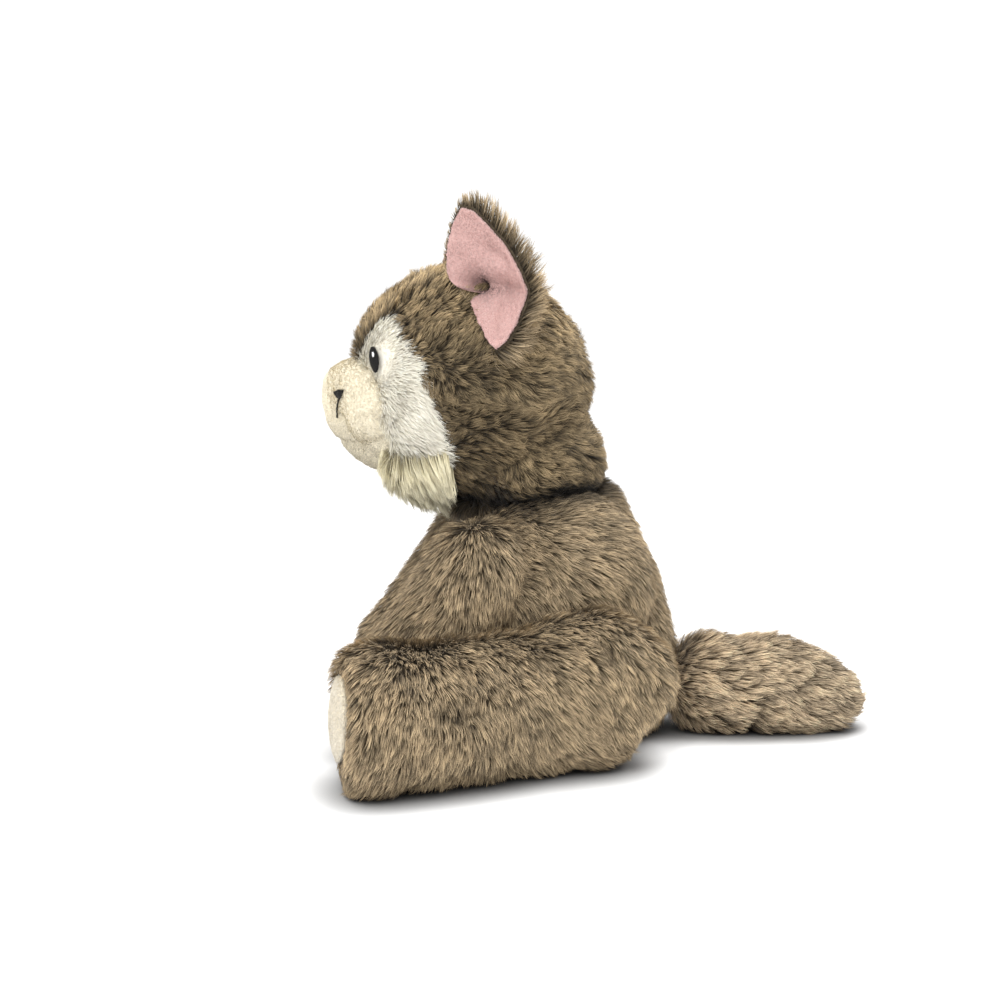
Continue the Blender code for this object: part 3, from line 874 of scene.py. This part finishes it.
def head_tone(points):
    """Painted light and shade: dark beside the neck and the cheeks, paler on the crown."""
    height = smooth_step(points[:, 2], 178 * MM, 222 * MM)
    behind = smooth_step(points[:, 1] - HEAD_FILLING[1], 0, 32 * MM)
    return neck_shade(points) * (0.68 + 0.17 * behind * (1 - height) + 0.86 * height)


def ruff_tone(points):
    """Painted shade: white where it meets the cheeks, darker down its fringe under the chin."""
    return 0.84 + 0.28 * smooth_step(points[:, 2] - eye_height, -60 * MM, -44 * MM)


def paint_face(skin):
    """White backing cloth under the white fur."""
    mesh = skin.obj.data
    mesh.materials.append(MATERIALS["white_backing"])
    middles = read(mesh.polygons, "center", 3)
    normals = read(mesh.polygons, "normal", 3)
    owner = owners_at(head_tree, middles, normals, face_flow, {**FACE_FUR, "raise": FACE_TOP})
    mesh.polygons.foreach_set("material_index", np.isin(owner, WHITE_PANELS).astype(np.int32))


paint_face(head)
HEAD_COATS = {
    "crown_gusset": (HEAD_FUR, head_flow, "brown_fur", head_tone),
    "head_side_left": (HEAD_FUR, head_flow, "brown_fur", head_tone),
    "head_side_right": (HEAD_FUR, head_flow, "brown_fur", head_tone),
    "face_patch_left": (FACE_FUR, face_flow, "white_fur", None),
    "face_patch_right": (FACE_FUR, face_flow, "white_fur", None),
    "chin_ruff": (RUFF_FUR, ruff_flow, "white_fur", ruff_tone),
}
for index, (panel, (pile, flow, slot, tone)) in enumerate(HEAD_COATS.items()):
    pile = {**pile, "raise": FACE_TOP}
    grow(f"{panel}_fur", "head", head, pile, flow, 400 + index, panels=head_tree, replaced=[panel],
         length_at=face_length, keep_at=off_eye, tone_at=tone)

# ---------------------------------------------------------------- muzzle

MUZZLE_TURN = math.radians(20)
MUZZLE_BASE = 14 * MM
GROOVE_ASIDE = 7 * MM
CHIN_LIFT = 0.90
CHIN_BACK = 0.5 * MM
PAD_HEIGHT = 2.6 * MM
GROOVE_DEPTH = 1.3 * MM
CHIN_LINE_DEPTH = 2.0 * MM


def muzzle_turned(points):
    """Turns points about the upright line through the middle of the muzzle's base."""
    cos, sin = math.cos(MUZZLE_TURN), math.sin(MUZZLE_TURN)
    base = muzzle_middle - head_forward * MUZZLE_BASE
    x, y, z = (points - base).T
    return base + np.stack([x * cos - y * sin, x * sin + y * cos, z], axis=-1)


def muzzle_shape(points, normals):
    """Two whisker pads with a groove between them, and a chin under a soft crease."""
    local = points - muzzle_middle
    side, up = local @ head_left - GROOVE_ASIDE, local @ head_up
    points = points + head_up * ((CHIN_LIFT - 1) * np.minimum(up, 0))[:, None]
    points = points - head_forward * (CHIN_BACK * smooth_step(-up, -1 * MM, 9 * MM))[:, None]
    front = smooth_step(normals @ head_forward, -0.2, 0.7)
    beside = ((np.abs(side) - 12 * MM) / (10 * MM)) ** 2
    above = ((up - 1 * MM) / (11 * MM)) ** 2
    pads = PAD_HEIGHT * np.exp(-beside - above)
    groove = GROOVE_DEPTH * bell(side, 3.6 * MM) * smooth_step(up, -17 * MM, -8 * MM)
    groove *= 1 - smooth_step(up, 4 * MM, 9 * MM)
    chin_line = CHIN_LINE_DEPTH * bell(up + 12 * MM - 0.12 * np.abs(side), 3.0 * MM)
    lumps = 0.5 * MM * ripple(points, 16 * MM, 71) + 0.25 * MM * ripple(points, 6 * MM, 72)
    points = points + normals * ((pads - groove - chin_line) * front + lumps)[:, None]
    return muzzle_turned(points)


muzzle = make_skin(
    "muzzle_skin", "head", ["muzzle_left", "muzzle_right"], "cream_cloth",
    bulges=[(muzzle_middle + head_forward * -4 * MM, (15 * MM, 14 * MM, 15 * MM))], voxel=1.4 * MM, relax=6,
    shape=muzzle_shape,
)


def muzzle_tone(points):
    """Painted light and shade: paler on top, darker under the chin."""
    return 0.72 + 0.28 * smooth_step((points - muzzle_middle) @ head_up, -16 * MM, 8 * MM)


for number, (side, out) in enumerate(SIDES.items()):

    def on_side(points, out=out):
        return (points - muzzle_middle) @ head_left * out >= 0

    grow(f"muzzle_{side}_pile", "head", muzzle, MUZZLE_PILE, face_flow, 500 + number, material="short",
         avoid=[head], keep_at=on_side, tone_at=muzzle_tone)

# ---------------------------------------------------------------- ears and soles

FOLD_FROM = (0.27, 0.47)
FOLD_TO = (1.0, 0.40)
FRONT_LOBE = (0.10, 0.52)
NOTCH = 8 * MM
VALLEY_DEPTH = 3.2 * MM
RIDGE_HEIGHT = 2.2 * MM
CHEEK_HEIGHT = 2.0 * MM
PIT_DEPTH = 8.0 * MM


class Pinch:
    """The fold pinched into an ear. Places on the ear are (front to back, bottom to top), from 0 to 1."""

    def __init__(self, side):
        points = node_points(f"ear_{side}_inner")
        _, _, axes = np.linalg.svd(points - points.mean(0), full_matrices=False)
        self.out = axes[2] * np.sign(axes[2] @ np.array([SIDES[side], -0.5, 0.0]))
        self.tall = unit(UP - self.out * self.out[2])
        self.wide = np.cross(self.tall, self.out)
        self.wide *= np.sign(self.wide[1])
        flat = np.stack([points @ self.wide, points @ self.tall], axis=1)
        self.low, self.size = flat.min(0), np.ptp(flat, axis=0)
        self.start, self.end, self.lobe = (
            self.low + self.size * np.array(spot) for spot in (FOLD_FROM, FOLD_TO, FRONT_LOBE)
        )

    def places(self, points):
        """Along the fold from 0 to 1, metres above it, and metres from its hollow end."""
        flat = np.stack([points @ self.wide, points @ self.tall], axis=1)
        line = self.end - self.start
        length = np.linalg.norm(line)
        along = ((flat - self.start) @ line) / length**2
        above = ((flat - self.start) @ np.array([-line[1], line[0]])) / length
        hollow = np.linalg.norm(flat - self.start, axis=1)
        return along, above, hollow

    def shape(self, points, normals):
        """Presses the fold and its hollow into the ear, and lets the front lobe hang over."""
        along, above, hollow = self.places(points)
        inside = smooth_step(along, -0.25, 0.1)
        valley = VALLEY_DEPTH * (1 - 0.55 * np.clip(along, 0, 1)) * bell(above, 4.0 * MM)
        ridge = RIDGE_HEIGHT * bell(above - 8 * MM, 5 * MM)
        cheek = CHEEK_HEIGHT * bell(above + 9 * MM, 6 * MM)
        pit = PIT_DEPTH * bell(hollow, 6 * MM)
        lumps = 0.5 * MM * ripple(points, 14 * MM, 81)
        notch = NOTCH * bell(above + 2 * MM, 3.8 * MM) * (1 - smooth_step(along, -0.1, 0.30))
        flat = np.stack([points @ self.wide, points @ self.tall], axis=1)
        lobe = bell(np.linalg.norm(flat - self.lobe, axis=1), 7 * MM) * 4.5 * MM
        points = points + self.wide * (notch - 0.3 * lobe)[:, None] - self.tall * lobe[:, None]
        return points + self.out * ((ridge + cheek - valley) * inside - pit + lumps)[:, None]

    def tone(self, points):
        """Painted shade down in the fold and the hollow; paler on the lower lobe."""
        along, above, _ = self.places(points)
        _, _, hollow = self.places(points - self.wide * 0.7 * NOTCH)
        fold = 0.42 * bell(above, 2.6 * MM) * smooth_step(along, -0.1, 0.2) * (1 - 0.5 * along)
        pale = 0.12 * smooth_step(-above, 3 * MM, 10 * MM)
        return 1 - fold.clip(0, 1) - 1.1 * bell(hollow, 7.0 * MM) + pale


for number, side in enumerate(SIDES):
    ear = f"ear_{side}"
    pinch = Pinch(side)
    ear_back = make_skin(
        f"{ear}_back_skin", ear, [f"{ear}_back"], "brown_backing",
        voxel=1.2 * MM, relax=3, shape=pinch.shape,
    )
    ear_inner = make_skin(
        f"{ear}_inner_skin", ear, [f"{ear}_inner"], "pink_cloth",
        voxel=1.0 * MM, relax=3, shape=pinch.shape,
    )

    def ear_flow(points, normals, root=np.array(JOINTS[f"{ear}_fold"]["pos_m"])):
        return unit(points - root) + np.array([0, 0.1, 0.2])

    def ear_length(points, pinch=pinch):
        """Short beside the front edge, long beside the back edge."""
        return 0.35 + 0.85 * smooth_step((points @ pinch.wide - pinch.low[0]) / pinch.size[0], 0.10, 0.55)

    grow(f"{ear}_back_fur", ear, ear_back, EAR_BACK_FUR, ear_flow, 600 + number, replaced=[f"{ear}_back"],
         avoid=[ear_inner], bury=-0.9 * MM, length_at=ear_length)
    grow(f"{ear}_inner_pile", ear, ear_inner, EAR_PILE, ear_flow, 610 + number, material="short",
         replaced=[f"{ear}_inner"], avoid=[ear_back, head], tone_at=pinch.tone)

    sole = make_skin(
        f"leg_{side}_sole_skin", f"leg_{side}", [f"leg_{side}_sole"], "sole_cloth",
        voxel=1.3 * MM, relax=4,
    )
    grow(f"leg_{side}_sole_pile", f"leg_{side}", sole, SOLE_PILE, leg_flow(side), 620 + number,
         material="short", avoid=[legs[side]])

# ---------------------------------------------------------------- embroidery


def thread(points, radius, rounds=6):
    """Rings of points round a path, fat in its middle and closed to a point at its ends."""
    path = np.array(points)
    along = unit(np.gradient(path, axis=0))
    across = unit(np.cross(along, [0.31, 0.52, 0.79]))
    upward = np.cross(along, across)
    share = np.linspace(0, 1, len(path))
    thick = radius * np.sqrt(np.clip(1 - (2 * share - 1) ** 4, 0.02, 1))
    angles = np.arange(rounds) * 2 * math.pi / rounds
    ring = across[:, None] * np.cos(angles)[None, :, None] + upward[:, None] * np.sin(angles)[None, :, None]
    return path[:, None] + ring * thick[:, None, None]


def embroider(name, body, surface, stitches, radius, material, replaced, lift):
    """Threads over a surface: each stitch is a pair of points and the direction that the needle looks in."""
    points, faces = [], []
    for start, end, look in stitches:
        share = np.linspace(0, 1, 7)[:, None]
        line = np.array(start) * (1 - share) + np.array(end) * share
        look = unit(np.array(look))
        path = []
        for spot, bow in zip(line, np.sin(share[:, 0] * math.pi)):
            hit, _, _, _ = surface.tree.ray_cast(Vector(spot - look * 20 * MM), Vector(look))
            ground = np.array(hit) if hit is not None else spot
            path.append(ground - look * (lift + radius * 0.9 * bow))
        rings = thread(path, radius)
        first = len(points)
        steps, rounds, _ = rings.shape
        points += rings.reshape(-1, 3).tolist()
        for i in range(steps - 1):
            for j in range(rounds):
                k = (j + 1) % rounds
                a, b = first + i * rounds, first + (i + 1) * rounds
                faces.append((a + j, a + k, b + k, b + j))
        faces.append(tuple(first + j for j in reversed(range(rounds))))
        faces.append(tuple(first + (steps - 1) * rounds + j for j in range(rounds)))
    mesh = bpy.data.meshes.new(name)
    mesh.from_pydata(points, [], faces)
    mesh.update()
    mesh.shade_smooth()
    mesh.materials.append(MATERIALS[material])
    obj = bpy.data.objects.new(name, mesh)
    bpy.context.scene.collection.objects.link(obj)
    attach(obj, body)
    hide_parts(*replaced)


def patch_axes(node):
    """Middle of a thin CAD patch, and its longest, second and thinnest directions."""
    points = node_points(node)
    centre = (points.min(0) + points.max(0)) / 2
    _, _, axes = np.linalg.svd(points - points.mean(0), full_matrices=False)
    return centre, axes


def eye_stitches(centre, long_axis, short_axis, look, half_long, half_short, rows):
    """Rows of thread across an oval, side by side along its long axis."""
    stitches = []
    for row in range(rows):
        place = -1 + 2 * (row + 0.5) / rows
        reach = half_short * math.sqrt(1 - place * place)
        spot = centre + long_axis * half_long * place
        stitches.append((spot - short_axis * reach, spot + short_axis * reach, look))
    return stitches


THREAD_RADIUS = 0.42 * MM
EYE_LONG = 6.3 * MM
EYE_SHORT = 3.9 * MM
EYE_ROWS = 22
EYE_LIFT = 2.6 * MM
GLINT_LONG = 1.2 * MM
GLINT_SHORT = 0.8 * MM
GLINT_ROWS = 4
GLINT_RADIUS = 0.30 * MM
GLINT_LIFT = 3.4 * MM
for side in SIDES:
    centre, (_, _, thin) = patch_axes(f"eye_{side}")
    look = -thin * np.sign(thin @ (centre - HEAD_FILLING))
    lean = head_up + head_forward * 0.32
    long_axis = unit(lean - look * (lean @ look))
    short_axis = np.cross(long_axis, look)
    embroider(
        f"eye_{side}_embroidery", "head", head,
        eye_stitches(centre, long_axis, short_axis, look, EYE_LONG, EYE_SHORT, EYE_ROWS),
        THREAD_RADIUS, "black_thread", [f"eye_{side}"], lift=EYE_LIFT,
    )
    ahead = unit(head_forward - look * (head_forward @ look))
    spot = centre + long_axis * 1.7 * MM - ahead * 0.9 * MM
    embroider(
        f"eye_{side}_glint_embroidery", "head", head,
        eye_stitches(spot, long_axis, short_axis, look, GLINT_LONG, GLINT_SHORT, GLINT_ROWS),
        GLINT_RADIUS, "white_thread", [f"eye_{side}_glint"], lift=GLINT_LIFT,
    )

NOSE_WIDE = 4.2 * MM
NOSE_TALL = 4.6 * MM
NOSE_LIFT = 3.6 * MM
NOSE_ASIDE = 0.5 * MM
NOSE_ROWS = 13
MOUTH_DROP = 11 * MM
MOUTH_ASIDE = 6.2 * MM
MOUTH_STITCHES = 5
MOUTH_RADIUS = 0.45 * MM
MUZZLE_THREAD_LIFT = 0.9 * MM
nose_at = muzzle_turned(middle("nose")[None])[0]
nose_at = nose_at + head_up * NOSE_LIFT + head_left * NOSE_ASIDE
nose_rows = []
for row in range(NOSE_ROWS):
    place = -1 + 2 * (row + 0.5) / NOSE_ROWS
    top = nose_at + head_left * NOSE_WIDE * place + head_up * (2.2 - 0.6 * place * place) * MM
    foot = nose_at + head_left * NOSE_WIDE * 0.18 * place - head_up * (NOSE_TALL * 0.45)
    nose_rows.append((top, foot, -head_forward))
embroider(
    "nose_embroidery", "head", muzzle, nose_rows,
    THREAD_RADIUS, "black_thread", ["nose"], lift=MUZZLE_THREAD_LIFT,
)

mouth_start = nose_at - head_up * 2 * MM
mouth_foot = nose_at - head_up * MOUTH_DROP - head_left * MOUTH_ASIDE
mouth_rows = []
for row in range(MOUTH_STITCHES):
    start = mouth_start + (mouth_foot - mouth_start) * (row - 0.15) / MOUTH_STITCHES
    end = mouth_start + (mouth_foot - mouth_start) * (row + 1.15) / MOUTH_STITCHES
    mouth_rows.append((start, end, -head_forward))
embroider(
    "mouth_embroidery", "head", muzzle, mouth_rows,
    MOUTH_RADIUS, "black_thread", ["mouth"], lift=MUZZLE_THREAD_LIFT,
)

# ---------------------------------------------------------------- floor, light and camera

FLOOR_HALF = 6.0
# Reach and strength of the floor's painted contact shadow.
CONTACT_SHADOW_REACH = 0.024
CONTACT_SHADOW_GAMMA = 1.15
SKY_STRENGTH = 1.08
LIGHTS = {
    "key": {"place": (1.3, -0.5, 1.7), "aim": (0, -0.05, 0.10), "size": 1.1, "power": 26},
    "top": {"place": (-0.2, 0.5, 1.9), "aim": (0, 0, 0.10), "size": 1.2, "power": 22},
}
CAMERA_AIM_Y = -0.0468
CAMERA_AIM_Z = 0.117
CAMERA_ELEVATION = math.radians(8)
CAMERA_DISTANCE = 0.8
LENS_MM = 57.6
SENSOR_MM = 36


def floor():
    """A pale floor with a painted contact shadow: it darkens a little where the toy meets it."""
    mesh = bpy.data.meshes.new("floor")
    corners = [(-FLOOR_HALF, -FLOOR_HALF, 0), (FLOOR_HALF, -FLOOR_HALF, 0),
               (FLOOR_HALF, FLOOR_HALF, 0), (-FLOOR_HALF, FLOOR_HALF, 0)]
    mesh.from_pydata(corners, [], [(0, 1, 2, 3)])
    obj = bpy.data.objects.new("floor", mesh)
    bpy.context.scene.collection.objects.link(obj)
    material, nodes, links, shader = new_material("floor")
    _, ramp = noise_colour(nodes, links, 3, (0.962, 0.962, 0.962), (0.972, 0.972, 0.972))
    # Painted contact shadow: ambient occlusion darkens the floor's colour near the toy.
    contact_shadow = nodes.new("ShaderNodeAmbientOcclusion")
    contact_shadow.inputs["Distance"].default_value = CONTACT_SHADOW_REACH
    deepen = nodes.new("ShaderNodeGamma")
    deepen.inputs["Gamma"].default_value = CONTACT_SHADOW_GAMMA
    links.new(ramp.outputs["Color"], contact_shadow.inputs["Color"])
    links.new(contact_shadow.outputs["Color"], deepen.inputs["Color"])
    links.new(deepen.outputs["Color"], shader.inputs["Base Color"])
    shader.inputs["Roughness"].default_value = 0.9
    mesh.materials.append(material)


def area_light(name, place, aim, size, power):
    """A round soft lamp that looks at a point."""
    light = bpy.data.lights.new(name, "AREA")
    light.shape = "DISK"
    light.size = size
    light.energy = power
    obj = bpy.data.objects.new(name, light)
    bpy.context.scene.collection.objects.link(obj)
    obj.location = place
    obj.rotation_euler = (Vector(aim) - Vector(place)).to_track_quat("-Z", "Y").to_euler()


def studio():
    """A white world with two soft lamps."""
    world = bpy.data.worlds.new("studio")
    bpy.context.scene.world = world
    world.use_nodes = True
    sky = world.node_tree.nodes["Background"]
    sky.inputs["Color"].default_value = (1, 1, 1, 1)
    sky.inputs["Strength"].default_value = SKY_STRENGTH
    for name, light in LIGHTS.items():
        area_light(name, **light)
    bpy.context.scene.view_settings.view_transform = "Standard"


def camera():
    """Looks at the toy's left side from a little above."""
    aim = Vector(((cad_box[0].x + cad_box[1].x) / 2, CAMERA_AIM_Y, CAMERA_AIM_Z))
    lens = bpy.data.cameras.new("camera")
    lens.lens = LENS_MM
    lens.sensor_width = SENSOR_MM
    obj = bpy.data.objects.new("camera", lens)
    bpy.context.scene.collection.objects.link(obj)
    outward = Vector((math.cos(CAMERA_ELEVATION), 0, math.sin(CAMERA_ELEVATION)))
    obj.location = aim + outward * CAMERA_DISTANCE
    obj.rotation_euler = (aim - obj.location).to_track_quat("-Z", "Y").to_euler()
    bpy.context.scene.camera = obj


floor()
studio()
camera()
